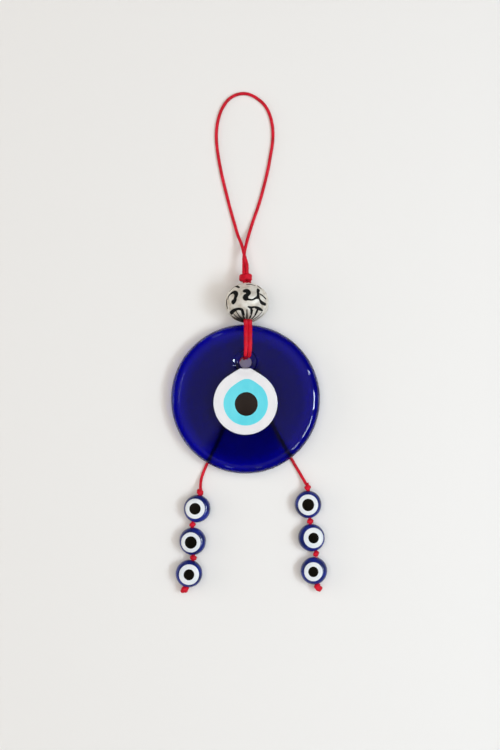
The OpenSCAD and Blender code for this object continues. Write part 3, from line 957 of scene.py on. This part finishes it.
def add_small_bead(side, i):
    name = f"{side}_bead_{i}"
    centre = middle(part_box(name))
    shift, white_d, black_d = EYES[side][i - 1]
    joint = next(j for j in frame["record"]["behaviour"]["joints"] if j["name"] == f"{name}_spin")
    up = unit(np.array(joint["axis"], float))
    across = np.cross(up, (0, 0, 1))
    hole_at = np.array(joint["pos_m"], float)

    def place(points):
        points = np.asarray(points)
        return (centre + np.outer(points[:, 0], across) + np.outer(points[:, 1] * SMALL_STRETCH, up)
                + points[:, 2:] * (0, 0, 1))

    bead = lathe(f"{name}_resin", small_outline(), 72, BLUE_RESIN, place)
    drill = cord_mesh("drill", smooth_path([hole_at - up * DRILL_REACH, hole_at + up * DRILL_REACH], 1 * MM),
                      2 * SMALL_HOLE_R, 2 * SMALL_HOLE_R, relief=0)
    remade(bead, ("BOOLEAN", {"object": drill, "operation": "DIFFERENCE", "solver": "EXACT"}))
    bead.data.shade_smooth()
    bead.data.set_sharp_from_angle(angle=math.radians(40))
    remove(drill)
    bead.data.materials.clear()
    bead.data.materials.append(BLUE_RESIN)
    finish_piece(bead, name, "blue_resin", name)
    add_dot(f"{name}_white_dots", white_d / 2 * MM, in_metres(shift), 0.05 * MM, WHITE_RESIN, "white_resin",
            f"{name}_whites", name, place)
    add_dot(f"{name}_black_dots", black_d / 2 * MM, in_metres(shift), 0.1 * MM, BLACK_RESIN, "black_resin",
            f"{name}_blacks", name, place)


for side in SIDES:
    for i in (1, 2, 3):
        add_small_bead(side, i)

# ---------------------------------------------------------------- floor and light


FLOOR_HALF = 6


def add_floor():
    corners = [(x * FLOOR_HALF, y * FLOOR_HALF, TABLE_Z) for x, y in ((-1, -1), (1, -1), (1, 1), (-1, 1))]
    paint = Paint("floor_paint", (0.8, 0.79, 0.78), 0.6).material
    floor = make("floor", corners, [(0, 1, 2, 3)], paint)


def add_lamp(name, azimuth, zenith, distance, size, radiance, colour, only_fill=False):
    """A soft box that faces the ornament. Its size is across and up-and-down as it looks at the ornament.
    A fill lights matt surfaces only, so that it leaves no glare on the glass."""
    azimuth, zenith = math.radians(azimuth), math.radians(zenith)
    flat = distance * math.sin(zenith)
    place = (flat * math.cos(azimuth), flat * math.sin(azimuth), distance * math.cos(zenith))
    light = bpy.data.lights.new(name, "AREA")
    light.shape = "RECTANGLE"
    light.size, light.size_y = size
    light.energy = radiance * math.pi * size[0] * size[1]
    light.color = colour
    lamp = bpy.data.objects.new(name, light)
    bpy.context.scene.collection.objects.link(lamp)
    lamp.location = place
    lamp.rotation_euler = (-Vector(place)).to_track_quat("-Z", "Y").to_euler()
    lamp.visible_camera = False
    lamp.visible_glossy = not only_fill


# Strengths of the world's light, and the way to the dark stand's middle with its half size in degrees
ROOM_LIGHT = 0.04
OVERHEAD_LIGHT = 0.3
HORIZON_LIGHT = 0.45
STAND_LIGHT = 0.02
STAND = (0, -0.163, 0.987)
STAND_SIZE = 4.5
WARM = (1, 0.93, 0.855)
COOL = (0.87, 1, 1.1)


def add_world():
    """A dim room, brighter overhead and at the horizon, with a dark stand that the glass mirrors below
    its eye."""
    world = bpy.data.worlds.new("studio")
    world.use_nodes = True
    nodes, links = world.node_tree.nodes, world.node_tree.links
    way = nodes.new("ShaderNodeTexCoord").outputs["Generated"]

    def fade(centre, start, end, low, high):
        """low at start degrees from a direction, and high at end degrees."""
        near = nodes.new("ShaderNodeVectorMath")
        near.operation = "DOT_PRODUCT"
        near.inputs[1].default_value = centre
        links.new(way, near.inputs[0])
        made = nodes.new("ShaderNodeMapRange")
        for socket, value in zip(("From Min", "From Max", "To Min", "To Max"),
                                 (math.cos(math.radians(end)), math.cos(math.radians(start)), high, low)):
            made.inputs[socket].default_value = value
        links.new(near.outputs["Value"], made.inputs["Value"])
        return made.outputs["Result"]

    def combined(operation, first, second):
        made = nodes.new("ShaderNodeMath")
        made.operation = operation
        links.new(first, made.inputs[0])
        links.new(second, made.inputs[1])
        return made.outputs["Value"]

    room = fade((0, 0, 1), 15, 50, OVERHEAD_LIGHT, ROOM_LIGHT)
    horizon = fade((0, 0, 1), 80, 90, 0, HORIZON_LIGHT)
    stand = fade(STAND, STAND_SIZE, STAND_SIZE + 2, STAND_LIGHT / OVERHEAD_LIGHT, 1)
    background = nodes["Background"]
    background.inputs["Color"].default_value = (*WARM, 1)
    above = combined("MULTIPLY", room, stand)
    links.new(combined("ADD", above, horizon), background.inputs["Strength"])
    bpy.context.scene.world = world


# The windows and cards that the glass mirrors round its rim: azimuth, half width, zenith angle and height
# in degrees, and brightness
WINDOWS = ((-2.5, 7.5, 40, 13, 18), (-25, 9, 40, 13, 9), (-44, 5, 40, 13, 6), (23, 1.8, 40, 13, 12),
           (172, 13, 17, 5, 3), (172, 13, 80, 8, 2), (114, 5, 50, 13, 2), (-104, 3, 50, 13, 2),
           (-79, 2, 50, 13, 2))
WINDOW_AWAY = 0.85


def add_light():
    add_world()
    for i, (azimuth, half_width, zenith, height, radiance) in enumerate(WINDOWS):
        across = 2 * WINDOW_AWAY * math.sin(math.radians(zenith)) * math.tan(math.radians(half_width))
        high = WINDOW_AWAY * math.radians(height)
        add_lamp(f"window_{i + 1}", azimuth, zenith, WINDOW_AWAY, (across, high), radiance, COOL)
    add_lamp("side_fill", -3, 60, 1.6, (1.0, 0.7), 0.8, COOL, only_fill=True)
    add_lamp("left_fill", 178, 66, 1.6, (1.4, 0.7), 2, WARM, only_fill=True)
    add_lamp("ceiling_fill", 90, 1, 2.7, (3.9, 3.9), 1.27, WARM, only_fill=True)
    bpy.context.scene.view_settings.view_transform = "Standard"


add_floor()
add_light()
